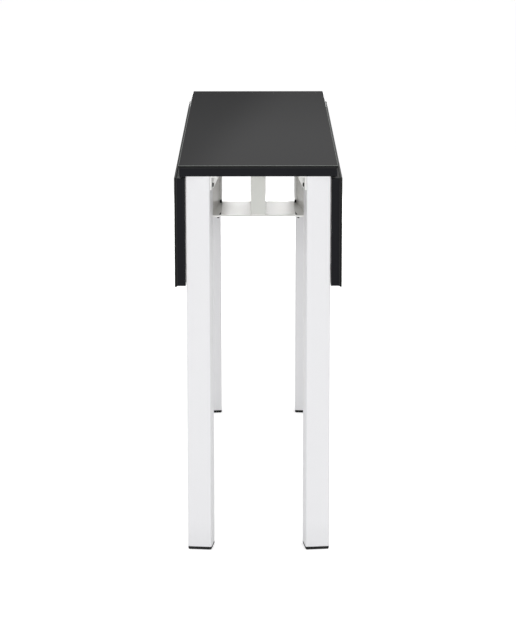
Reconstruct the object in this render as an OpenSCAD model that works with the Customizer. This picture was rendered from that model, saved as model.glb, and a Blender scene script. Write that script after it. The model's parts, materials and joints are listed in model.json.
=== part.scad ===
// Drop-leaf table with a glass top: a fixed centre top on four square legs,
// two leaves that hang beside the legs, and a fold-out support arm at each leg.
// X runs across the table, Y along it, Z up. The origin is the middle of the floor area.
// Front is -Y and left is -X. At rest both leaves hang down.

/* [Top] */
// Height of the glass surface above the floor
table_h = 760; // [720:5:800]
// Length of the top and of each leaf
table_l = 1100; // [1000:10:1300]
// Width of the fixed top glass
top_w = 302; // [296:1:340]
// Thickness of each glass plate
glass_t = 4; // [3:1:6]
// Thickness of the black bond layer under each glass plate
bond_t = 1; // [0.5:0.5:2]
// Thickness of the panel under each bond layer
panel_t = 16; // [15:1:20]
// How far a bond layer stays inside the edge of its glass
bond_inset = 1; // [0.5:0.5:1.5]
// How far a panel stays inside the edge of its glass
panel_inset = 1.5; // [1:0.5:3]
// Corner radius of the glass plates and panels
plate_corner_r = 2; // [1:0.5:4]

/* [Leaves] */
// Width of the glass of a leaf
leaf_w = 211; // [206:1:240]
// Gap between the top glass and the glass of a raised leaf
leaf_gap = 3; // [2.5:0.5:4]
// Drop of a hanging leaf's upper edge below the underside of the top
leaf_drop = 2.5; // [2:0.5:3.5]
// Clearance between the legs and a hanging leaf
leaf_clear = 1; // [1:0.5:2]
// Radius of a rubber bumper between leg and leaf
bumper_r = 6; // [4:1:10]
// Height of the bumpers above the lower edge of a hanging leaf
bumper_up = 34.5; // [20:0.5:100]
// Clearance between a bumper and the hanging leaf
bumper_clear = 0.1; // [0.1:0.1:0.5]

/* [Legs] */
// Side of a square leg
leg_s = 46; // [42:1:52]
// Turn of each leg about its own axis, in line with its splayed gusset
leg_turn = 7; // [0:0.5:9]
// Wall of the leg tube
leg_wall = 2; // [1.5:0.5:3]
// Outer corner radius of the leg tube
leg_corner_r = 3; // [2.5:0.5:6]
// Inner corner radius of the leg tube
leg_bore_r = 2; // [1:0.5:4]
// Setback of the legs from the long edges of the top glass
leg_inset = 13.5; // [13:0.5:16]
// Height of the visible part of a foot
foot_h = 6; // [4:1:10]
// Height of the plug of a foot inside the leg
foot_plug_h = 22; // [15:1:35]
// Clearance of the plug inside the leg
foot_plug_clear = 0.2; // [0.1:0.1:0.4]
// Edge break at the bottom of a foot
foot_bevel = 1; // [0.5:0.5:2]
// Thickness of the steel plate on top of a leg
leg_plate_t = 3; // [2:0.5:4]
// Length of the tongue of the leg plate that takes the screws
leg_plate_tongue = 40; // [30:1:50]
// Width of the tongue
leg_plate_w = 36; // [30:1:40]
// Distance between the two screws of a leg plate
leg_screw_pitch = 18; // [14:1:20]
// Distance from a leg to the screws of its plate
leg_screw_reach = 26; // [16:1:26]

/* [Beam and cradles] */
// Width of the centre beam
beam_w = 28; // [24:1:40]
// Corner radius of the centre beam
beam_corner_r = 2.5; // [1.5:0.5:6]
// Inner corner radius of the centre beam
beam_bore_r = 1.5; // [0.5:0.5:4]
// Wall of the centre beam
beam_wall = 2; // [1.5:0.5:3]
// Thickness of the end caps of the beam
beam_cap_t = 3; // [2:0.5:5]
// Height of the beam, and of the space between top and cradle floor
beam_h = 82; // [75:1:95]
// Distance from the end of the table to the cradle and the beam
cradle_setback = 50; // [48.5:0.5:56]
// Depth of a cradle floor along the table
cradle_d = 151; // [140:1:165]
// Sideways distance from a leg to a cradle floor
cradle_gap = 15.5; // [13.5:0.5:20]
// Thickness of a cradle floor
cradle_t = 4; // [3:0.5:6]
// Width of a cradle post
post_w = 4; // [3:0.5:5]
// Depth of a cradle post
post_d = 12; // [10:1:16]
// Height of the black shoe under a post
shoe_h = 6; // [4:0.5:8]

/* [Gussets] */
// Sheet thickness of the gussets
gusset_t = 3; // [2:0.5:4]
// Distance from the inner edge of a leg to the face of the gusset
gusset_leg_offset = 7.5; // [6:0.5:9]
// Width of the gusset's tab on the leg
gusset_tab_w = 17; // [15:0.5:20]
// Width of the light flange along the bottom of a gusset
gusset_flange_w = 17; // [12:0.5:20]
// Depth of the flange's bridge to the cradle floor, in front of the wedge
flange_bridge = 6; // [5:0.5:12]
// Radius of a gusset bolt
gusset_bolt_r = 2.5; // [2:0.5:3]
// Height of the lower gusset bolt above the bottom of the gusset
gusset_bolt_low = 20; // [15:1:30]
// Distance between the two gusset bolts
gusset_bolt_pitch = 45; // [35:1:45]
// Length of a gusset bolt under its head
bolt_l = 8; // [7:0.5:12]
// Radius of the head of a gusset bolt
bolt_head_r = 5; // [4:0.5:6]
// Thickness of the head of a gusset bolt
bolt_head_t = 3; // [2.5:0.5:4]
// Bevel round the head of a gusset bolt
bolt_head_bevel = 1; // [0.5:0.25:1.5]
// Radius over the corners of the six-sided socket in the head
socket_r = 2; // [1.5:0.1:2.5]
// Depth of the socket
socket_depth = 1.6; // [1:0.1:2]
// Thickness of the black wedge between flange and floor
wedge_t = 3; // [2:0.5:6]
// Radius of the plug under the bridge
plug_r = 2; // [1.5:0.5:2.5]
// Height of that plug
plug_h = 3; // [2:0.5:4]
// Sideways distance from the cradle floor to the middle of the plug
plug_out = 5.5; // [4:0.5:7]
// Distance from the end of the cradle floor to the middle of the plug
plug_back = 3; // [2:0.5:3.5]

/* [Corner brackets] */
// Thickness of a corner bracket
bracket_t = 3; // [2:0.5:4]
// Height of a corner bracket on the leg
bracket_h = 27; // [18:1:32]
// Reach of a corner bracket under the top
bracket_reach = 14; // [13:0.5:18]
// Length of a corner bracket along the table
bracket_l = 30; // [24:1:40]
// Distance from the end face of the leg to the bracket
bracket_setback = 5; // [3:1:9]
// Height of the screw into the leg above the lower end of the bracket
bracket_screw_up = 8; // [5:1:9]
// Length of that screw under its head
bracket_screw_l = 9; // [7:0.5:14]

/* [Hinges] */
// Number of hinges on each side
hinge_count = 3; // [2:1:4]
// Distance between neighbouring hinges
hinge_pitch = 340; // [150:10:350]
// Length of a hinge along its pin
hinge_l = 60; // [50:1:80]
// Width of the middle knuckle, which turns with the leaf
hinge_hub_l = 29; // [20:1:36]
// Play on each side of the middle knuckle
hinge_play = 0.5; // [0.3:0.1:1]
// Radius of the knuckles
knuckle_r = 5; // [4.5:0.1:5.2]
// Radius of a hinge pin
pin_r = 2.5; // [2:0.1:3]
// Radial clearance of the pin
pin_clear = 0.05; // [0.03:0.01:0.09]
// Radius of the pin heads
pin_head_r = 3.5; // [3.2:0.1:4.2]
// Thickness of the pin heads
pin_head_t = 1; // [0.8:0.1:1.5]
// Thickness of the hinge plates
hinge_t = 3; // [2:0.5:3.5]
// Width of a hinge plate on the underside of the top or leaf
hinge_plate_w = 36; // [30:1:45]
// Distance from the edge of a leaf panel to its hinge plates
neck_extra = 3.5; // [3:0.5:6]
// Free space round a hinge inside its pocket in the panel
pocket_clear = 1.5; // [1:0.1:2]
// Distance between the two screws of a hinge plate
hinge_screw_pitch = 30; // [20:1:36]

/* [Support arms] */
// Distance from the underside of the top down to the pivot of a support arm
arm_pivot_drop = 39; // [31:1:49]
// Sideways distance from the outermost edge of a leg to the pivot
arm_pivot_inset = 15; // [13:0.5:18]
// Distance from the edge of the top glass to the glide of a raised arm
arm_reach = 99; // [80:1:110]
// Thickness of a support arm
arm_t = 6; // [4:0.5:8]
// Radius of the arm round its pivot
arm_hub_r = 8; // [7:0.5:8.5]
// Radius of the arm at its tip
arm_tip_r = 5.5; // [4.5:0.5:6]
// Width of the arm between its round ends, as a share of their width
arm_waist = 0.9; // [0.7:0.05:0.95]
// Radius of the nylon glide
glide_r = 7; // [6.5:0.5:7.5]
// Thickness of the nylon glide
glide_t = 10; // [8:0.5:14]
// Radius of the boss that holds the glide in the arm
glide_boss_r = 3; // [2.5:0.1:3.5]
// Clearance between a glide and its track on a raised leaf
glide_clear = 0.3; // [0.2:0.1:0.5]
// Radius of the pivot stud
stud_r = 4; // [3.5:0.1:4.5]
// Radius of the collar of the stud
collar_r = 7; // [6:0.5:8]
// Thickness of the collar
collar_t = 1.5; // [1:0.5:3]
// Side play of the arm on its stud
arm_play = 0.15; // [0.1:0.05:0.3]
// Radius over the corners of the cap nut
nut_r = 7.5; // [7:0.5:9]
// Height of the cap nut
nut_h = 6; // [5:0.5:8]
// Radius of the dome of the cap nut
nut_dome_r = 5.5; // [4:0.5:6]
// How far the stud goes into the cap nut
stud_grip = 3; // [2:0.5:4]
// Thickness of the steel track under a leaf
track_t = 2; // [1.5:0.5:2.5]
// Width of the track
track_w = 20; // [18:1:26]
// Height of the stop ridge on the track
ridge_h = 3; // [2:0.5:3.5]
// Width of the stop ridge
ridge_w = 4; // [3:0.5:6]
// Gap between the stop ridge and a raised glide
ridge_clear = 0.5; // [0.3:0.1:1]
// Side clearance between the stop ridge and the arm
ridge_side = 0.5; // [0.3:0.1:1]
// Length of the track beyond the travel of the glide, for a screw
track_end = 14; // [11:0.5:20]

/* [Screws] */
// Radius of a wood screw
screw_r = 2; // [1.5:0.1:2.2]
// Radius of a screw head
screw_head_r = 4; // [3.5:0.1:4.5]
// Thickness of a screw head
screw_head_t = 2; // [1.5:0.1:2.5]
// Bevel round a screw head
screw_head_bevel = 0.7; // [0.3:0.1:1]
// Length of the cross recess in a screw head
cross_l = 4.6; // [3:0.1:5]
// Width of the cross recess
cross_w = 1.1; // [0.8:0.1:1.5]
// Depth of the cross recess
cross_depth = 1.1; // [0.8:0.1:1.3]
// Depth of a screw in the panel
screw_depth = 11; // [8:0.5:13]
// Clearance round the shank of a screw
screw_clear = 0.05; // [0.03:0.01:0.1]
// Number of screws that hold the beam
beam_screw_count = 4; // [3:1:6]
// Distance between the screws of the beam
beam_screw_pitch = 220; // [100:10:225]
// Radius of the access holes under the beam
access_r = 6; // [5:0.5:8]

/* [Hidden] */

ROUND = 48;
// How far a cut runs past the faces that it opens
cut = 1;
GLASS = [0.27, 0.27, 0.28];
BLACK = [0.05, 0.05, 0.05];
PANEL = [0.14, 0.14, 0.15];
WHITE = [0.93, 0.93, 0.92];
GREY = [0.80, 0.80, 0.78];
STEEL = [0.62, 0.63, 0.65];
NYLON = [0.90, 0.90, 0.86];

half_l = table_l / 2;
half_w = top_w / 2;
slab_t = glass_t + bond_t + panel_t;
under_z = table_h - slab_t;

// The turned legs stay inside these lines. leg_half is half the width of a turned leg across X or Y.
half_s = leg_s / 2;
leg_half = (half_s - leg_corner_r) * (cos(leg_turn) + sin(leg_turn)) + leg_corner_r;
leg_out = half_w - leg_inset;
leg_in = leg_out - 2 * leg_half;
leg_end = half_l - panel_inset;
leg_face = leg_end - 2 * leg_half;
leg_x = leg_out - leg_half;
leg_y = leg_end - leg_half;

// A raised leaf lies level with the top, and a hanging one lies against the legs.
// Both places together give the axis of the hinges.
leaf_in = leg_out + leaf_clear;
leaf_start = half_w + leaf_gap;
axis_x = (leaf_start + leaf_in - leaf_drop) / 2;
axis_z = under_z + (leaf_start - leaf_in - leaf_drop) / 2;
axis_under = axis_z - under_z;
leaf_panel_edge = leaf_start + panel_inset;

bumper_z = axis_z - leaf_start - leaf_w + axis_x + bumper_up;
// The bumpers start inside the leg and are cut by it.
bumper_in = half_s / 4;

cradle_half_w = leg_in - cradle_gap;
cradle_out = half_l - cradle_setback;
cradle_in = cradle_out - cradle_d;
floor_z = under_z - beam_h;
gusset_z = floor_z - cradle_t;
shoe_z = gusset_z + gusset_t;
post_out = cradle_half_w + post_w;
post_end = cradle_in + post_d;
gusset_in = gusset_leg_offset - half_s;
gusset_tip = leg_pt(gusset_in, -half_s);
flange_tip = leg_pt(gusset_in - gusset_flange_w, -half_s);
gusset_slope = (gusset_tip[0] - post_out) / (gusset_tip[1] - post_end);
flange_meet = flange_tip[1] - (flange_tip[0] - cradle_half_w) / gusset_slope;
wedge_end = cradle_out - flange_bridge;
wedge_x = cradle_half_w + (wedge_end - flange_meet) * gusset_slope;

hinge_ys = [for (i = [0:hinge_count - 1]) (i - (hinge_count - 1) / 2) * hinge_pitch];
pocket_l = hinge_l + 2 * (pin_head_t + pocket_clear);
lug_l = (hinge_l - hinge_hub_l) / 2 - hinge_play;

// The neck of a knuckle leaves its plate this far from the axis.
neck_out = leaf_panel_edge - axis_x + neck_extra;
neck_low = axis_under + hinge_t;
swing_r = sqrt(pow(neck_low, 2) + pow(hinge_t, 2));
// Both edges of the neck end inside the knuckle.
neck_deep = 0.9 * knuckle_r;
neck_side = 0.3 * knuckle_r;

// The arm points straight down at rest and meets the track of a raised leaf.
arm_x = leg_out - arm_pivot_inset;
arm_pivot_z = under_z - arm_pivot_drop;
glide_x = half_w + arm_reach;
glide_z = under_z - track_t - glide_r - glide_clear;
arm_len = sqrt(pow(glide_x - arm_x, 2) + pow(glide_z - arm_pivot_z, 2));
arm_turn = 90 + atan((glide_z - arm_pivot_z) / (glide_x - arm_x));
arm_y = leg_face - collar_t - arm_play - arm_t;
nut_y = arm_y - arm_play;
glide_y = arm_y - glide_t;
track_mid = glide_y + glide_t / 2;
ridge_in = glide_x - axis_x - glide_r - ridge_w - ridge_clear;
track_in = ridge_in - track_end;
track_out = axis_z - arm_pivot_z + arm_len + glide_r + track_end;

// Screw places, each as a point in the plan of the underside of the top or of a raised leaf.
// The leg screws share the middle of the tongue beside the gusset.
leg_screw_mid = (gusset_in + gusset_t + leg_plate_w / 2) / 2;
leg_screws = [for (i = [-1, 1]) leg_pt(leg_screw_mid + i * leg_screw_pitch / 2, -half_s - leg_screw_reach)];
bracket_mid = half_s - bracket_setback - bracket_l / 2;
bracket_screw = leg_pt(-half_s - (bracket_reach + bracket_t) / 2, bracket_mid);
bracket_screw_z = under_z - bracket_h + bracket_screw_up;
hinge_screw_dys = [-hinge_screw_pitch / 2, hinge_screw_pitch / 2];
hinge_screw_x = axis_x - neck_out - hinge_plate_w / 2;
leaf_screw_x = axis_x + neck_out + hinge_plate_w / 2;
track_screw_xs = [axis_x + track_in + track_end / 2, axis_x + track_out - track_end / 2];
beam_screw_ys = [for (i = [0:beam_screw_count - 1]) (i - (beam_screw_count - 1) / 2) * beam_screw_pitch];
bolt_zs = [gusset_z + gusset_bolt_low, gusset_z + gusset_bolt_low + gusset_bolt_pitch];
bolt_x = gusset_in + gusset_t + (gusset_tab_w - gusset_t) / 2;

echo(axis_x = axis_x, axis_z = axis_z, arm_x = arm_x, arm_pivot_z = arm_pivot_z, arm_turn = arm_turn);
echo(glide_x = glide_x, glide_z = glide_z, arm_len = arm_len, under_z = under_z, floor_z = floor_z);

// Everything is drawn for the rear right corner and mirrored to the other corners.
module to_corner(side, end) {
    mirror([side < 0 ? 1 : 0, 0, 0]) mirror([0, end < 0 ? 1 : 0, 0]) children();
}

module at_corners() {
    for (side = [-1, 1], end = [-1, 1]) to_corner(side, end) children();
}

// The turned frame of a leg: x and y are measured from the leg's axis, square to its faces.
function leg_pt(x, y) = [
    leg_x + x * cos(leg_turn) + y * sin(leg_turn),
    leg_y - x * sin(leg_turn) + y * cos(leg_turn)
];

module in_leg() {
    translate([leg_x, leg_y, 0]) rotate([0, 0, -leg_turn]) children();
}

// The space of a leg from z to z + h
module leg_block(z, h) {
    in_leg() translate([-half_s, -half_s, z]) cube([leg_s, leg_s, h]);
}

module rounded_rect(x, y, r) {
    square([x - 2 * r, y], center = true);
    square([x, y - 2 * r], center = true);
    for (i = [-1, 1], j = [-1, 1])
        translate([i * (x / 2 - r), j * (y / 2 - r)]) circle(r = r, $fn = ROUND);
}

// A flat profile in X and Z, extruded along Y from y to y + l.
module along_y(y, l) {
    translate([0, y + l, 0]) rotate([90, 0, 0]) linear_extrude(l) children();
}

module disc_y(x, y, z, r, l) {
    translate([x, y + l, z]) rotate([90, 0, 0]) cylinder(r = r, h = l, $fn = ROUND);
}

// Turns what is drawn for a raised right leaf down to its hanging place.
module hanging() {
    translate([axis_x, 0, axis_z]) rotate([0, 90, 0]) translate([-axis_x, 0, -axis_z]) children();
}

// A round head that points down, bevelled at its lower edge
module head_down(r, t, bevel) {
    cylinder(r1 = r - bevel, r2 = r, h = bevel, $fn = ROUND);
    translate([0, 0, bevel]) cylinder(r = r, h = t - bevel, $fn = ROUND);
}

// A screw that points up, with a cross recess in its head. l is its length under the head.
module screw(l) {
    translate([0, 0, -screw_head_t]) difference() {
        union() {
            head_down(screw_head_r, screw_head_t, screw_head_bevel);
            cylinder(r = screw_r, h = screw_head_t + l, $fn = ROUND);
        }
        for (a = [0, 90]) rotate([0, 0, a])
            translate([-cross_l / 2, -cross_w / 2, -cut]) cube([cross_l, cross_w, cross_depth + cut]);
    }
}

// A wood screw driven up from below, with its head against the face at height z
module screw_up(x, y, z) {
    translate([x, y, z]) screw(under_z + screw_depth - z);
}

module screw_hole(x, y) {
    translate([x, y, under_z - cut])
        cylinder(r = screw_r + screw_clear, h = cut + screw_depth + screw_clear, $fn = ROUND);
}

module plate_hole(x, y, z, t) {
    translate([x, y, z - cut]) cylinder(r = screw_r + screw_clear, h = t + 2 * cut, $fn = ROUND);
}

// The hole of the screw that joins a corner bracket to its leg, from x and l long, in the leg's frame
module bracket_leg_hole(x, l) {
    translate([x, bracket_mid, bracket_screw_z]) rotate([0, 90, 0])
        cylinder(r = screw_r + screw_clear, h = l, $fn = ROUND);
}

// The fixed top: glass, bond and panel
module slab_layer(x, y, inset, z, t) {
    translate([0, 0, z]) linear_extrude(t)
        rounded_rect(x - 2 * inset, y - 2 * inset, plate_corner_r);
}

module top_glass() {
    color(GLASS) slab_layer(top_w, table_l, 0, table_h - glass_t, glass_t);
}

module top_bond() {
    color(BLACK) slab_layer(top_w, table_l, bond_inset, table_h - glass_t - bond_t, bond_t);
}

module hinge_pocket(y) {
    translate([axis_x - swing_r - pocket_clear, y - pocket_l / 2, under_z - cut])
        cube([half_w, pocket_l, cut + axis_under + knuckle_r + pocket_clear]);
}

module top_panel() {
    color(PANEL) difference() {
        slab_layer(top_w, table_l, panel_inset, under_z, panel_t);
        for (side = [-1, 1], y = hinge_ys) to_corner(side, 1) {
            hinge_pocket(y);
            for (dy = hinge_screw_dys) screw_hole(hinge_screw_x, y + dy);
        }
        at_corners() {
            for (p = leg_screws) screw_hole(p[0], p[1]);
            screw_hole(bracket_screw[0], bracket_screw[1]);
        }
        for (y = beam_screw_ys) screw_hole(0, y);
    }
}

// Legs and feet
module leg(side, end) {
    color(WHITE) to_corner(side, end) in_leg() difference() {
        translate([0, 0, foot_h]) linear_extrude(under_z - leg_plate_t - foot_h)
            rounded_rect(leg_s, leg_s, leg_corner_r);
        translate([0, 0, foot_h - cut]) linear_extrude(under_z - leg_plate_t - foot_h + 2 * cut)
            rounded_rect(leg_s - 2 * leg_wall, leg_s - 2 * leg_wall, leg_bore_r);
        for (z = bolt_zs)
            disc_y(bolt_x, -half_s - cut, z, gusset_bolt_r + screw_clear, leg_wall + 2 * cut);
        bracket_leg_hole(-half_s - cut, leg_wall + 2 * cut);
    }
}

// Plates on top of the legs, with a tongue that is screwed under the panel
module leg_plates() {
    color(WHITE) at_corners() difference() {
        in_leg() translate([0, 0, under_z - leg_plate_t]) union() {
            linear_extrude(leg_plate_t) rounded_rect(leg_s, leg_s, leg_corner_r);
            translate([-leg_plate_w / 2, -half_s - leg_plate_tongue, 0])
                cube([leg_plate_w, leg_plate_tongue + half_s, leg_plate_t]);
        }
        for (p = leg_screws) plate_hole(p[0], p[1], under_z - leg_plate_t, leg_plate_t);
    }
}

module foot(side, end) {
    plug = leg_s - 2 * (leg_wall + foot_plug_clear);
    color(BLACK) to_corner(side, end) in_leg() {
        linear_extrude(foot_bevel)
            rounded_rect(leg_s - 2 * foot_bevel, leg_s - 2 * foot_bevel, leg_corner_r - foot_bevel);
        translate([0, 0, foot_bevel]) linear_extrude(foot_h - foot_bevel)
            rounded_rect(leg_s, leg_s, leg_corner_r);
        linear_extrude(foot_h + foot_plug_h)
            rounded_rect(plug, plug, leg_bore_r - foot_plug_clear);
    }
}

// Centre beam and the cradles at its ends
module centre_beam() {
    length = 2 * (cradle_out - beam_cap_t);
    mid_z = floor_z + beam_h / 2;
    color(GREY) difference() {
        translate([0, 0, mid_z]) along_y(-length / 2, length) rounded_rect(beam_w, beam_h, beam_corner_r);
        translate([0, 0, mid_z]) along_y(-length / 2 - cut, length + 2 * cut)
            rounded_rect(beam_w - 2 * beam_wall, beam_h - 2 * beam_wall, beam_bore_r);
        for (y = beam_screw_ys) {
            plate_hole(0, y, under_z - beam_wall, beam_wall);
            translate([0, y, floor_z - cut]) cylinder(r = access_r, h = beam_wall + 2 * cut, $fn = ROUND);
        }
    }
}

module beam_caps() {
    color(GREY) for (end = [-1, 1]) to_corner(1, end)
        translate([0, 0, floor_z + beam_h / 2]) along_y(cradle_out - beam_cap_t, beam_cap_t)
            rounded_rect(beam_w, beam_h, beam_corner_r);
}

module cradle_floor(end) {
    color(GREY) to_corner(1, end)
        translate([-cradle_half_w, cradle_in, gusset_z]) cube([2 * cradle_half_w, cradle_d, cradle_t]);
}

module post(side, end) {
    color(WHITE) to_corner(side, end)
        translate([cradle_half_w, cradle_in, shoe_z + shoe_h])
            cube([post_w, post_d, under_z - shoe_z - shoe_h]);
}

module post_shoes() {
    color(BLACK) at_corners()
        translate([cradle_half_w, cradle_in, shoe_z]) cube([post_w, post_d, shoe_h]);
}

// Splayed gussets from the posts to the legs
module gusset_sheet() {
    polygon([
        [post_out, cradle_in], [post_out, post_end],
        gusset_tip, leg_pt(gusset_in + gusset_tab_w, -half_s),
        leg_pt(gusset_in + gusset_tab_w, -half_s - gusset_t),
        leg_pt(gusset_in + gusset_t, -half_s - gusset_t),
        [post_out + gusset_t, post_end], [post_out + gusset_t, cradle_in]
    ]);
}

module gusset_flange() {
    polygon([
        [cradle_half_w, cradle_in], [cradle_half_w, flange_meet], [wedge_x, wedge_end],
        [cradle_half_w, wedge_end], [cradle_half_w, cradle_out], flange_tip, gusset_tip,
        [post_out, post_end], [post_out, cradle_in]
    ]);
}

module gusset(side, end) {
    color(GREY) to_corner(side, end) difference() {
        translate([0, 0, gusset_z]) union() {
            linear_extrude(under_z - leg_plate_t - gusset_z) gusset_sheet();
            linear_extrude(gusset_t) gusset_flange();
        }
        in_leg() for (z = bolt_zs)
            disc_y(bolt_x, -half_s - gusset_t - cut, z, gusset_bolt_r + screw_clear, gusset_t + 2 * cut);
    }
}

// Black wedges that close the window between each flange and the cradle floor
module wedge_pads() {
    color(BLACK) at_corners() translate([0, 0, gusset_z + gusset_t - wedge_t]) linear_extrude(wedge_t)
        polygon([[cradle_half_w, flange_meet], [cradle_half_w, wedge_end], [wedge_x, wedge_end]]);
}

module flange_plugs() {
    color(BLACK) at_corners()
        translate([cradle_half_w + plug_out, cradle_out - plug_back, gusset_z - plug_h])
            cylinder(r = plug_r, h = plug_h, $fn = ROUND);
}

module gusset_bolts() {
    color(STEEL) at_corners() in_leg() for (z = bolt_zs)
        translate([bolt_x, -half_s - gusset_t - bolt_head_t, z]) rotate([-90, 0, 0]) difference() {
            union() {
                head_down(bolt_head_r, bolt_head_t, bolt_head_bevel);
                cylinder(r = gusset_bolt_r, h = bolt_head_t + bolt_l, $fn = ROUND);
            }
            translate([0, 0, -cut]) cylinder(r = socket_r, h = socket_depth + cut, $fn = 6);
        }
}

// Brackets that tie the top of each leg to the panel
module corner_brackets() {
    y = bracket_mid - bracket_l / 2;
    color(WHITE) at_corners() difference() {
        in_leg() union() {
            translate([-half_s - bracket_t, y, under_z - bracket_h]) cube([bracket_t, bracket_l, bracket_h]);
            translate([-half_s - bracket_reach, y, under_z - bracket_t])
                cube([bracket_reach, bracket_l, bracket_t]);
            along_y(y, bracket_t) polygon([
                [-half_s - bracket_reach, under_z], [-half_s, under_z], [-half_s, under_z - bracket_h],
                [-half_s - bracket_t, under_z - bracket_h], [-half_s - bracket_reach, under_z - bracket_t]
            ]);
        }
        plate_hole(bracket_screw[0], bracket_screw[1], under_z - bracket_t, bracket_t);
        in_leg() bracket_leg_hole(-half_s - bracket_t - cut, bracket_t + 2 * cut);
    }
}

module leaf_bumpers() {
    color(BLACK) at_corners() difference() {
        translate([leg_out - bumper_in, leg_y, bumper_z]) rotate([0, 90, 0])
            cylinder(r = bumper_r, h = bumper_in + leaf_clear - bumper_clear, $fn = ROUND);
        leg_block(bumper_z - bumper_r - cut, 2 * (bumper_r + cut));
    }
}

// Hinges: fixed plates with two knuckles, a turning plate with one, and a pin
module hinge_plate_profile() {
    translate([-neck_out - hinge_plate_w, -neck_low]) square([hinge_plate_w, hinge_t]);
}

module knuckle_profile() {
    circle(r = knuckle_r, $fn = ROUND);
    polygon([
        [-neck_out, -neck_low], [-neck_out, -axis_under], [-swing_r, -axis_under],
        [-neck_deep, neck_side], [0, 0], [-neck_side, -neck_deep]
    ]);
}

module hinge_bore(y) {
    disc_y(0, y - hinge_l, 0, pin_r + pin_clear, 2 * hinge_l);
}

module hinge_plates() {
    color(STEEL) for (side = [-1, 1], y = hinge_ys) to_corner(side, 1) difference() {
        translate([axis_x, 0, axis_z]) difference() {
            union() {
                along_y(y - hinge_l / 2, hinge_l) hinge_plate_profile();
                for (start = [y - hinge_l / 2, y + hinge_l / 2 - lug_l])
                    along_y(start, lug_l) knuckle_profile();
            }
            hinge_bore(y);
        }
        for (dy = hinge_screw_dys) plate_hole(hinge_screw_x, y + dy, under_z - hinge_t, hinge_t);
    }
}

module hinge_arms() {
    color(STEEL) for (y = hinge_ys) difference() {
        translate([axis_x, 0, axis_z]) mirror([1, 0, 0]) difference() {
            union() {
                along_y(y - hinge_l / 2, hinge_l) hinge_plate_profile();
                along_y(y - hinge_hub_l / 2, hinge_hub_l) knuckle_profile();
            }
            hinge_bore(y);
        }
        for (dy = hinge_screw_dys) plate_hole(leaf_screw_x, y + dy, under_z - hinge_t, hinge_t);
    }
}

module hinge_pins() {
    color(STEEL) for (side = [-1, 1], y = hinge_ys) to_corner(side, 1) {
        disc_y(axis_x, y - hinge_l / 2 - pin_head_t, axis_z, pin_r, hinge_l + 2 * pin_head_t);
        for (start = [y - hinge_l / 2 - pin_head_t, y + hinge_l / 2])
            disc_y(axis_x, start, axis_z, pin_head_r, pin_head_t);
    }
}

// Screws under the top
module hinge_plate_screws() {
    color(STEEL) for (side = [-1, 1], y = hinge_ys, dy = hinge_screw_dys) to_corner(side, 1)
        screw_up(hinge_screw_x, y + dy, under_z - hinge_t);
}

module leg_plate_screws() {
    color(STEEL) at_corners() for (p = leg_screws) screw_up(p[0], p[1], under_z - leg_plate_t);
}

module bracket_screws() {
    color(BLACK) at_corners() {
        screw_up(bracket_screw[0], bracket_screw[1], under_z - bracket_t);
        in_leg() translate([-half_s - bracket_t, bracket_mid, bracket_screw_z]) rotate([0, 90, 0])
            screw(bracket_screw_l);
    }
}

module beam_screws() {
    color(STEEL) for (y = beam_screw_ys) screw_up(0, y, under_z - beam_wall);
}

// A leaf, drawn raised at the right and then turned down
module leaf_place(side) {
    to_corner(side, 1) hanging() children();
}

module leaf_layer(inset, z, t) {
    translate([leaf_start + leaf_w / 2, 0, 0]) slab_layer(leaf_w, table_l, inset, z, t);
}

module leaf_glass(side) {
    color(GLASS) leaf_place(side) leaf_layer(0, table_h - glass_t, glass_t);
}

module leaf_bond(side) {
    color(BLACK) leaf_place(side) leaf_layer(bond_inset, table_h - glass_t - bond_t, bond_t);
}

module leaf_panel(side) {
    color(PANEL) leaf_place(side) difference() {
        leaf_layer(panel_inset, under_z, panel_t);
        for (y = hinge_ys, dy = hinge_screw_dys) screw_hole(leaf_screw_x, y + dy);
        for (end = [-1, 1], x = track_screw_xs) screw_hole(x, end * track_mid);
    }
}

module leaf_hinge_arms(side) {
    leaf_place(side) hinge_arms();
}

module leaf_tracks(side) {
    ridge_l = glide_t - 2 * ridge_side;
    color(STEEL) leaf_place(side) for (end = [-1, 1]) to_corner(1, end) difference() {
        union() {
            translate([axis_x + track_in, track_mid - track_w / 2, under_z - track_t])
                cube([track_out - track_in, track_w, track_t]);
            translate([axis_x + ridge_in, track_mid - ridge_l / 2, under_z - track_t - ridge_h])
                cube([ridge_w, ridge_l, ridge_h + track_t / 2]);
        }
        for (x = track_screw_xs) plate_hole(x, track_mid, under_z - track_t, track_t);
    }
}

module leaf_screws(side) {
    color(STEEL) leaf_place(side) {
        for (y = hinge_ys, dy = hinge_screw_dys) screw_up(leaf_screw_x, y + dy, under_z - hinge_t);
        for (end = [-1, 1], x = track_screw_xs) screw_up(x, end * track_mid, under_z - track_t);
    }
}

// Fold-out support arms with their studs, nuts and glides
module arm_studs() {
    color(STEEL) at_corners() difference() {
        union() {
            disc_y(arm_x, leg_face - collar_t, arm_pivot_z, collar_r, collar_t + leg_half);
            disc_y(arm_x, nut_y - stud_grip, arm_pivot_z, stud_r, leg_face - nut_y + stud_grip);
        }
        leg_block(arm_pivot_z - collar_r - cut, 2 * (collar_r + cut));
    }
}

module arm_nuts() {
    color(STEEL) at_corners() difference() {
        translate([arm_x, nut_y, arm_pivot_z]) rotate([90, 0, 0]) {
            cylinder(r = nut_r, h = nut_h, $fn = 6);
            translate([0, 0, nut_h]) sphere(r = nut_dome_r, $fn = ROUND);
        }
        disc_y(arm_x, nut_y - stud_grip - screw_clear, arm_pivot_z, stud_r + screw_clear, nut_h);
    }
}

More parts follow.
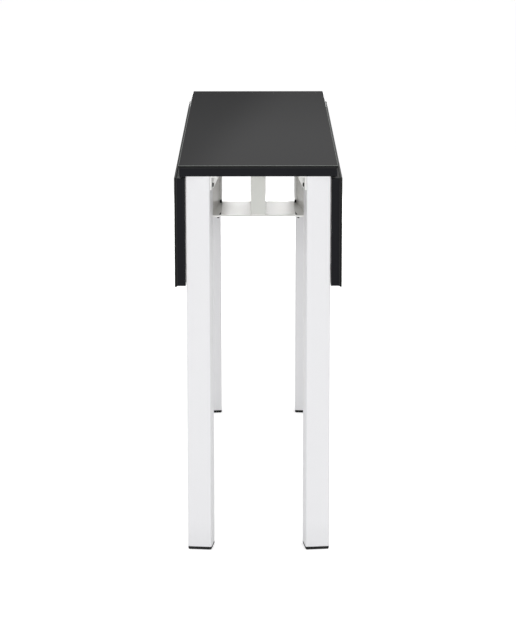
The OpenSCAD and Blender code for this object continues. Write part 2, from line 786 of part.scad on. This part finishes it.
module arm(side, end) {
    color(STEEL) to_corner(side, end) difference() {
        union() {
            disc_y(arm_x, arm_y, arm_pivot_z, arm_hub_r, arm_t);
            disc_y(arm_x, arm_y, arm_pivot_z - arm_len, arm_tip_r, arm_t);
            translate([arm_x, 0, arm_pivot_z]) along_y(arm_y, arm_t) polygon([
                [-arm_waist * arm_hub_r, 0], [arm_waist * arm_hub_r, 0],
                [arm_waist * arm_tip_r, -arm_len], [-arm_waist * arm_tip_r, -arm_len]
            ]);
        }
        disc_y(arm_x, arm_y - cut, arm_pivot_z, stud_r + pin_clear, arm_t + 2 * cut);
        disc_y(arm_x, arm_y - cut, arm_pivot_z - arm_len, glide_boss_r + screw_clear, arm_t + 2 * cut);
    }
}

module glide(side, end) {
    color(NYLON) to_corner(side, end) {
        disc_y(arm_x, glide_y, arm_pivot_z - arm_len, glide_r, glide_t);
        disc_y(arm_x, glide_y + glide_t / 2, arm_pivot_z - arm_len, glide_boss_r, glide_t / 2 + arm_t);
    }
}

top_glass();
top_bond();
top_panel();
leg(-1, -1);  // front_left_leg
leg(1, -1);  // front_right_leg
leg(-1, 1);  // rear_left_leg
leg(1, 1);  // rear_right_leg
leg_plates();
foot(-1, -1);  // front_left_foot
foot(1, -1);  // front_right_foot
foot(-1, 1);  // rear_left_foot
foot(1, 1);  // rear_right_foot
centre_beam();
beam_caps();
cradle_floor(-1);  // front_cradle_floor
cradle_floor(1);  // rear_cradle_floor
post(-1, -1);  // front_left_post
post(1, -1);  // front_right_post
post(-1, 1);  // rear_left_post
post(1, 1);  // rear_right_post
post_shoes();
gusset(-1, -1);  // front_left_gusset
gusset(1, -1);  // front_right_gusset
gusset(-1, 1);  // rear_left_gusset
gusset(1, 1);  // rear_right_gusset
wedge_pads();
flange_plugs();
corner_brackets();
leaf_bumpers();
hinge_plates();
hinge_pins();
arm_studs();
arm_nuts();
hinge_plate_screws();
leg_plate_screws();
bracket_screws();
beam_screws();
gusset_bolts();
leaf_glass(-1);  // left_leaf_glass
leaf_bond(-1);  // left_leaf_bond
leaf_panel(-1);  // left_leaf_panel
leaf_hinge_arms(-1);  // left_hinge_arms
leaf_tracks(-1);  // left_leaf_tracks
leaf_screws(-1);  // left_leaf_screws
leaf_glass(1);  // right_leaf_glass
leaf_bond(1);  // right_leaf_bond
leaf_panel(1);  // right_leaf_panel
leaf_hinge_arms(1);  // right_hinge_arms
leaf_tracks(1);  // right_leaf_tracks
leaf_screws(1);  // right_leaf_screws
arm(-1, -1);  // front_left_arm
arm(1, -1);  // front_right_arm
arm(-1, 1);  // rear_left_arm
arm(1, 1);  // rear_right_arm
glide(-1, -1);  // front_left_glide
glide(1, -1);  // front_right_glide
glide(-1, 1);  // rear_left_glide
glide(1, 1);  // rear_right_glide
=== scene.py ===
import json
import math

import bpy
from mathutils import Matrix, Vector

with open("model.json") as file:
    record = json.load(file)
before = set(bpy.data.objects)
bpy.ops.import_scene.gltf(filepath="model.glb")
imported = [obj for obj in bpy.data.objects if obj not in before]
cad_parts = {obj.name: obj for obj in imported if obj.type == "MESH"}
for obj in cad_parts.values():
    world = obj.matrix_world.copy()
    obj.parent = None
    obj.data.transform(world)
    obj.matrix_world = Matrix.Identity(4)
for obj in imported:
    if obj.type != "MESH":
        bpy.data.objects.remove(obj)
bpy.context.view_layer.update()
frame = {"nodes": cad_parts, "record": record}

# Every length is in metres. X runs across the table, Y along it, and Z up.
# The front is -Y and the left is -X.
leftwards, rightwards = (-1, 0, 0), (1, 0, 0)
rearwards = (0, 1, 0)
upwards, downwards = (0, 0, 1), (0, 0, -1)


# Shader maths
def linear(red, green, blue):
    """A colour given as it looks on a screen, from 0 to 255, as Blender's linear colour."""
    def one(level):
        level /= 255
        return level / 12.92 if level <= 0.04045 else ((level + 0.055) / 1.055) ** 2.4
    return (one(red), one(green), one(blue), 1)


def shaded(colour, factor):
    """A linear colour times a factor, and no brighter than white."""
    return tuple(min(1, channel * factor) for channel in colour[:3]) + (1,)


class Value:
    """One output of a node tree. Its operators add Math nodes."""

    def __init__(self, nodes, socket):
        self.nodes, self.socket = nodes, socket

    def __add__(self, other):
        return self.nodes.math("ADD", self, other)

    def __radd__(self, other):
        return self.nodes.math("ADD", other, self)

    def __sub__(self, other):
        return self.nodes.math("SUBTRACT", self, other)

    def __rsub__(self, other):
        return self.nodes.math("SUBTRACT", other, self)

    def __mul__(self, other):
        return self.nodes.math("MULTIPLY", self, other)

    def __rmul__(self, other):
        return self.nodes.math("MULTIPLY", other, self)


class Nodes:
    """A node tree with one way to add a node."""

    def __init__(self, tree):
        self.tree = tree
        tree.nodes.clear()

    def node(self, kind, settings=None, values=None, output=0):
        """Adds a node, sets it, sets or links its sockets, and returns one output."""
        added = self.tree.nodes.new(kind)
        for name, value in (settings or {}).items():
            setattr(added, name, value)
        for key, value in (values or {}).items():
            if isinstance(value, Value):
                self.tree.links.new(value.socket, added.inputs[key])
            else:
                added.inputs[key].default_value = value
        return Value(self, added.outputs[output]) if added.outputs else None

    def math(self, operation, first, second, clamp=False):
        settings = {"operation": operation, "use_clamp": clamp}
        return self.node("ShaderNodeMath", settings, {0: first, 1: second})

    def spread(self, value, low, high, least=0.0, most=1.0, curve="LINEAR"):
        """Turns low to high into least to most. Beyond low and high the result stays there."""
        settings = {"clamp": True, "interpolation_type": curve}
        return self.node("ShaderNodeMapRange", settings, {0: value, 1: low, 2: high, 3: least, 4: most})

    def dot(self, vector, direction):
        """How far a vector reaches along a direction."""
        settings = {"operation": "DOT_PRODUCT"}
        return self.node("ShaderNodeVectorMath", settings, {0: vector, 1: direction}, "Value")

    def height(self, vector):
        """The upright part of a vector."""
        return self.node("ShaderNodeSeparateXYZ", values={0: vector}, output="Z")


class Finish(Nodes):
    """A material in the making."""

    def __init__(self, name):
        self.material = bpy.data.materials.new(name)
        self.material.use_nodes = True
        super().__init__(self.material.node_tree)
        self.place = self.node("ShaderNodeTexCoord", output="Object")

    def made(self, **sockets):
        """The finished material, given what goes on each socket of its shader. A _ stands for a space."""
        values = {socket.replace("_", " "): value for socket, value in sockets.items()}
        shader = self.node("ShaderNodeBsdfPrincipled", values=values)
        self.node("ShaderNodeOutputMaterial", values={"Surface": shader})
        return self.material

    def stretched(self, x, y, z):
        """The place on the object, scaled on each axis. A factor below 1 draws a pattern out."""
        settings = {"operation": "MULTIPLY"}
        return self.node("ShaderNodeVectorMath", settings, {0: self.place, 1: (x, y, z)})

    def noise(self, size, detail=2, roughness=0.5, place=None):
        """Cloudy noise from 0 to 1 whose blotches are about size across."""
        return self.node("ShaderNodeTexNoise", values={
            "Vector": place or self.place, "Scale": 1 / size, "Detail": detail, "Roughness": roughness})

    def crystals(self, size):
        """Cells of about size, each with a level of its own from 0 to 1."""
        values = {"Vector": self.place, "Scale": 1 / size}
        colours = self.node("ShaderNodeTexVoronoi", values=values, output="Color")
        return self.node("ShaderNodeSeparateColor", values={0: colours})

    def mix(self, base, over, share):
        """The colour base with a share of the colour over."""
        return self.node("ShaderNodeMix", {"data_type": "RGBA"}, {0: share, 6: base, 7: over}, output=2)

    def along(self, direction):
        """How much the surface faces along a direction, from -1 to 1, in the table's own axes at rest."""
        return self.dot(self.node("ShaderNodeTexCoord", output="Normal"), direction)

    def bump(self, height, depth, strength=1.0):
        """A normal for a relief of depth."""
        values = {"Height": height, "Distance": depth, "Strength": strength}
        return self.node("ShaderNodeBump", values=values)


# Finishes
def black_glass(name, clear_side):
    """Toughened glass, black behind. Its edges are polished, with darker ink as painted shade, and have a
    ground arris along the clear side, frosted pale, and that pale tone is a painted highlight.
    """
    glass = Finish(name)
    cloud = glass.noise(0.35, detail=3)
    specks = glass.spread(glass.noise(0.0009, detail=1), 0.66, 0.74)
    grind = glass.noise(0.0008, detail=3, roughness=0.6)
    facing = glass.along(clear_side)
    edge = 1 - glass.spread(facing * facing, 0.03, 0.1)
    arris = glass.spread(facing, 0.3, 0.4) * glass.spread(facing, 0.98, 0.93)
    ink = glass.mix(linear(17, 17, 18), linear(23, 23, 25), 0.8 * cloud + 0.2 * specks)
    # The edges are darker ink than the faces: painted shade.
    ink_with_edge_shade = glass.mix(ink, linear(9, 10, 10), edge)
    # The arris is ground and frosted; its pale tone is a painted highlight along the edge.
    frosted_highlight = glass.mix(linear(106, 111, 107), linear(138, 143, 139), grind)
    return glass.made(
        Base_Color=glass.mix(ink_with_edge_shade, frosted_highlight, arris),
        Roughness=0.3 + 0.25 * arris * grind,
        Specular_IOR_Level=0.0,
        Coat_Weight=0.166 + 0.1 * edge + 0.28 * arris,
        Coat_Roughness=0.05,
        Normal=glass.bump(glass.noise(0.0006), 0.000004, strength=0.5),
    )


def black_bond():
    """Matt bond with faint streaks."""
    bond = Finish("black_bond")
    streak = bond.noise(0.004, detail=3, place=bond.stretched(1, 1, 0.3))
    return bond.made(
        Base_Color=bond.mix(linear(14, 14, 15), linear(24, 24, 26), streak),
        Roughness=0.62 + 0.2 * streak,
        Normal=bond.bump(bond.noise(0.0015, detail=3), 0.00004),
    )


def dark_panel(name, underside):
    """Board with a dark satin edge band, and a pale backing sheet on the side that faces along underside."""
    board = Finish(name)
    grain = board.noise(0.0007, detail=3, roughness=0.6)
    streak = board.noise(0.03, detail=4, place=board.stretched(1, 0.15, 1))
    dark = board.mix(linear(8, 9, 13), linear(16, 17, 22), 0.6 * streak + 0.4 * grain)
    pale = board.mix(linear(230, 229, 226), linear(241, 240, 238), 0.5 * streak + 0.5 * grain)
    backing = board.spread(board.along(underside), 0.9, 0.97)
    return board.made(
        Base_Color=board.mix(dark, pale, backing),
        Roughness=0.46 + 0.12 * grain,
        Specular_IOR_Level=0.12,
        Normal=board.bump(grain, 0.00002, strength=0.7),
    )


def powder_coat(name, colour, gloss, low_blotch_top=None, painted_end_shade=None, **fixed):
    """Powder coat on steel, with a faint orange peel and slow colour drift.

    Towards the floor, below a given height, it turns darker and rougher in blotches. Faces square to the
    table's length are darker by a given factor, which is painted shade.
    """
    coat = Finish(name)
    drift = coat.noise(0.25)
    peel = coat.noise(0.0016, roughness=0.4)
    fine = coat.noise(0.0005, detail=1)
    tint = coat.mix(shaded(colour, 0.975), shaded(colour, 1.015), 0.7 * drift + 0.3 * fine)
    rough = gloss + 0.06 * drift + 0.05 * peel
    # Faces square to the table's length are made darker here: painted shade.
    if painted_end_shade:
        facing = coat.along(rearwards)
        tint = coat.mix(tint, shaded(colour, painted_end_shade), coat.spread(facing * facing, 0.992, 0.999))
    # Darker and rougher in blotches towards the floor.
    if low_blotch_top:
        near_floor = coat.spread(coat.height(coat.place), low_blotch_top, 0.0)
        low_blotches = near_floor * coat.noise(0.012, detail=4, roughness=0.7)
        tint = coat.mix(tint, shaded(colour, 0.78), 0.5 * low_blotches)
        rough = rough + 0.25 * low_blotches
    relief = coat.bump(peel + 0.2 * fine, 0.00006, strength=0.6)
    return coat.made(Base_Color=tint, Roughness=rough, Normal=relief, **fixed)


def moulded(name, dark, light, rough, grain_size=0.0008, grain_depth=0.00004):
    """Moulded plastic or rubber with a fine spark-eroded grain."""
    plastic = Finish(name)
    grain = plastic.noise(grain_size, detail=3, roughness=0.6)
    cloud = plastic.noise(0.012, detail=3)
    return plastic.made(
        Base_Color=plastic.mix(dark, light, 0.5 * grain + 0.5 * cloud),
        Roughness=rough + 0.12 * grain,
        Specular_IOR_Level=0.25,
        Normal=plastic.bump(grain, grain_depth, strength=0.7),
    )


def zinc_steel():
    """Steel with a bright zinc plate: fine rolling lines, faint crystals and dull stains."""
    zinc = Finish("zinc_steel")
    crystal = zinc.crystals(0.004)
    lines = zinc.noise(0.0009, detail=3, roughness=0.6, place=zinc.stretched(1, 0.06, 1))
    stain = zinc.noise(0.03, detail=4, roughness=0.6)
    bright = zinc.mix(linear(176, 178, 180), linear(206, 208, 210), 0.5 * crystal + 0.5 * lines)
    return zinc.made(
        Base_Color=zinc.mix(bright, linear(168, 166, 158), 0.35 * zinc.spread(stain, 0.5, 0.75)),
        Metallic=1.0,
        Roughness=0.3 + 0.1 * lines + 0.08 * stain,
        Normal=zinc.bump(lines, 0.00002, strength=0.5),
    )


def black_screw():
    """Blackened steel with a faint scale."""
    steel = Finish("black_screw")
    scale = steel.noise(0.0012, detail=4, roughness=0.6)
    return steel.made(
        Base_Color=steel.mix(linear(32, 32, 34), linear(58, 57, 58), steel.spread(scale, 0.35, 0.75)),
        Metallic=0.8,
        Roughness=0.42 + 0.2 * scale,
        Normal=steel.bump(scale, 0.00002, strength=0.6),
    )


finishes = {
    "black_glass": black_glass("black_glass", upwards),
    "black_bond": black_bond(),
    "dark_panel": dark_panel("dark_panel", downwards),
    "white_leg": powder_coat("white_leg", linear(238, 238, 240), gloss=0.4, low_blotch_top=0.06),
    "white_bracket": powder_coat("white_bracket", linear(240, 240, 238), gloss=0.42),
    "pale_frame": powder_coat(
        "pale_frame", linear(244, 243, 240), gloss=0.28, painted_end_shade=0.7,
        Coat_Weight=1.0, Coat_Roughness=0.25),
    "black_foot": moulded("black_foot", linear(5, 5, 5), linear(14, 14, 14), rough=0.5),
    "black_plastic": moulded("black_plastic", linear(12, 12, 12), linear(22, 22, 22), rough=0.48),
    "bumper_rubber": moulded(
        "bumper_rubber", linear(28, 28, 28), linear(44, 43, 42), rough=0.75,
        grain_size=0.0006, grain_depth=0.00003),
    "black_screw": black_screw(),
    "zinc_steel": zinc_steel(),
    "nylon": moulded("nylon", linear(226, 225, 214), linear(238, 238, 229), rough=0.4),
}
# The leaves hang at rest, so their clear sides face outwards and their undersides inwards.
# The beam's caps are greyer than the tray.
own_finishes = {
    "left_leaf_glass": black_glass("left_leaf_glass", leftwards),
    "right_leaf_glass": black_glass("right_leaf_glass", rightwards),
    "beam_caps": powder_coat("cap_grey", linear(210, 211, 206), gloss=0.4),
    "left_leaf_panel": dark_panel("left_leaf_board", rightwards),
    "right_leaf_panel": dark_panel("right_leaf_board", leftwards),
}

# The CAD nodes
weld_distance = 1e-6
same_plane = math.radians(0.3)
sharp_edge = math.radians(40)
shading_edge = math.radians(20)
# Width of the flat along the sharp edges of each material
edge_breaks = {
    "black_glass": 0.0006, "dark_panel": 0.0006, "white_leg": 0.0006, "pale_frame": 0.0005,
    "white_bracket": 0.0004, "black_foot": 0.0004, "zinc_steel": 0.0003, "nylon": 0.0004,
}


def break_edges(piece, width):
    """Takes a narrow flat off every sharp edge.

    The faces are joined first, and parted again along the flats.
    """
    joined = piece.modifiers.new("joined", "WELD")
    joined.merge_threshold = weld_distance
    flats = piece.modifiers.new("flats", "DECIMATE")
    flats.decimate_type, flats.angle_limit = "DISSOLVE", same_plane
    broken = piece.modifiers.new("edge_break", "BEVEL")
    broken.width, broken.segments = width, 1
    broken.limit_method, broken.angle_limit = "ANGLE", sharp_edge
    parted = piece.modifiers.new("parted", "EDGE_SPLIT")
    parted.split_angle = shading_edge


for subpart in frame["record"]["subparts"]:
    name, slot = subpart["node"], subpart["material_slot"]
    piece = frame["nodes"][name]
    piece.data.materials.clear()
    piece.data.materials.append(own_finishes.get(name, finishes[slot]))
    if slot in edge_breaks:
        break_edges(piece, edge_breaks[slot])

# Camera, fitted to the photo, with its pitch and roll in radians
pitch, roll = 0.22045, 0.001143
eye = Vector((-0.00067, -5.14606, 1.49107))
focal_length_px, photo_height_px = 2459.13, 640
sensor_mm = 36
forward = Vector((0, math.cos(pitch), -math.sin(pitch)))
level_right = Vector(rightwards)
level_down = forward.cross(level_right)
lean_right = math.cos(roll) * level_right + math.sin(roll) * level_down
lean_down = math.cos(roll) * level_down - math.sin(roll) * level_right
turn = Matrix((lean_right, -lean_down, -forward)).transposed()
camera_data = bpy.data.cameras.new("camera")
camera_data.sensor_width = sensor_mm
camera_data.lens = focal_length_px / photo_height_px * sensor_mm
camera = bpy.data.objects.new("camera", camera_data)
camera.matrix_world = Matrix.Translation(eye) @ turn.to_4x4()
bpy.context.scene.collection.objects.link(camera)
bpy.context.scene.camera = camera


# Light and floor
def softbox(name, place, target, size, watts):
    """A rectangular lamp at place that shines towards target."""
    light = bpy.data.lights.new(name, "AREA")
    light.shape = "RECTANGLE"
    light.size, light.size_y = size
    light.energy = watts
    lamp = bpy.data.objects.new(name, light)
    lamp.location = place
    lamp.rotation_euler = (Vector(target) - Vector(place)).to_track_quat("-Z", "Y").to_euler()
    bpy.context.scene.collection.objects.link(lamp)


# Even light from all round, with a strip light behind the table that shines through under the top
softbox("ceiling_softbox", (0.3, -0.4, 3.4), (0, 0, 0.4), size=(3.0, 3.0), watts=36)
softbox("front_left_softbox", (-1.2, -7.0, 1.6), (0, 0, 0.5), size=(1.4, 1.4), watts=84)
softbox("front_right_softbox", (1.2, -7.0, 1.6), (0, 0, 0.5), size=(1.4, 1.4), watts=40)
softbox("left_softbox", (-3.2, -0.3, 0.6), (0, 0, 0.3), size=(2.4, 1.0), watts=5)
softbox("right_softbox", (3.2, -0.3, 0.6), (0, 0, 0.3), size=(2.4, 1.0), watts=1)
softbox("rear_strip_light", (0, 3.6, 0.74), (0, 0, 0.64), size=(1.1, 0.42), watts=25)


def rays(tree, kind):
    """1 for rays of a kind, such as Camera or Glossy."""
    return tree.node("ShaderNodeLightPath", output=f"Is {kind} Ray")


def white_where_seen(tree):
    """1 for rays that show the background itself: straight, in a mirror or through glass."""
    seen = rays(tree, "Camera") + rays(tree, "Glossy")
    return tree.math("ADD", seen, rays(tree, "Transmission"), clamp=True)


white = (1, 1, 1, 1)
ambient = 0.6
# In a mirror the studio is dimmer low down and to the left, which gives the glass top its soft gradient.
# The limits are for the direction of a mirror ray: its height, and its reach along the slant.
dim_height, full_height, low_light = 0.115, 0.150, 0.55
dim_reach, full_reach, left_light = 0.113, 0.138, 0.67
slant = (1, 0, 0.95)
world = bpy.data.worlds.new("studio")
bpy.context.scene.world = world
world.use_nodes = True
air = Nodes(world.node_tree)
toward = air.node("ShaderNodeTexCoord", output="Generated")
low_wall = air.spread(air.height(toward), dim_height, full_height, least=low_light, curve="SMOOTHSTEP")
reach = air.dot(toward, slant)
left_wall = air.spread(reach, dim_reach, full_reach, least=left_light, curve="SMOOTHSTEP")
in_mirrors = 1 - rays(air, "Glossy") * (1 - low_wall * left_wall)
brightness = (ambient + (1 - ambient) * white_where_seen(air)) * in_mirrors
glow = air.node("ShaderNodeBackground", values={"Color": white, "Strength": brightness})
air.node("ShaderNodeOutputWorld", values={"Surface": glow})

floor_grey, floor_lift = 0.8, 0.52
floor_half, floor_drop = 40.0, 0.0004
floor_material = bpy.data.materials.new("studio_floor")
floor_material.use_nodes = True
ground = Nodes(floor_material.node_tree)
paint = ground.node("ShaderNodeBsdfDiffuse", values={"Color": (floor_grey, floor_grey, floor_grey, 1)})
lift = ground.node("ShaderNodeEmission", values={
    "Color": white, "Strength": floor_lift * white_where_seen(ground)})
lit = ground.node("ShaderNodeAddShader", values={0: paint, 1: lift})
# The floor is clear from below, so that it doesn't hide the underside of the table.
below = ground.node("ShaderNodeNewGeometry", output="Backfacing")
clear = ground.node("ShaderNodeBsdfTransparent")
surface = ground.node("ShaderNodeMixShader", values={0: below, 1: lit, 2: clear})
ground.node("ShaderNodeOutputMaterial", values={"Surface": surface})
floor_mesh = bpy.data.meshes.new("studio_floor")
floor_mesh.from_pydata(
    [(x * floor_half, y * floor_half, -floor_drop) for x, y in ((-1, -1), (1, -1), (1, 1), (-1, 1))],
    [], [(0, 1, 2, 3)])
floor_mesh.materials.append(floor_material)
floor = bpy.data.objects.new("studio_floor", floor_mesh)
bpy.context.scene.collection.objects.link(floor)

bpy.context.scene.view_settings.view_transform = "Standard"
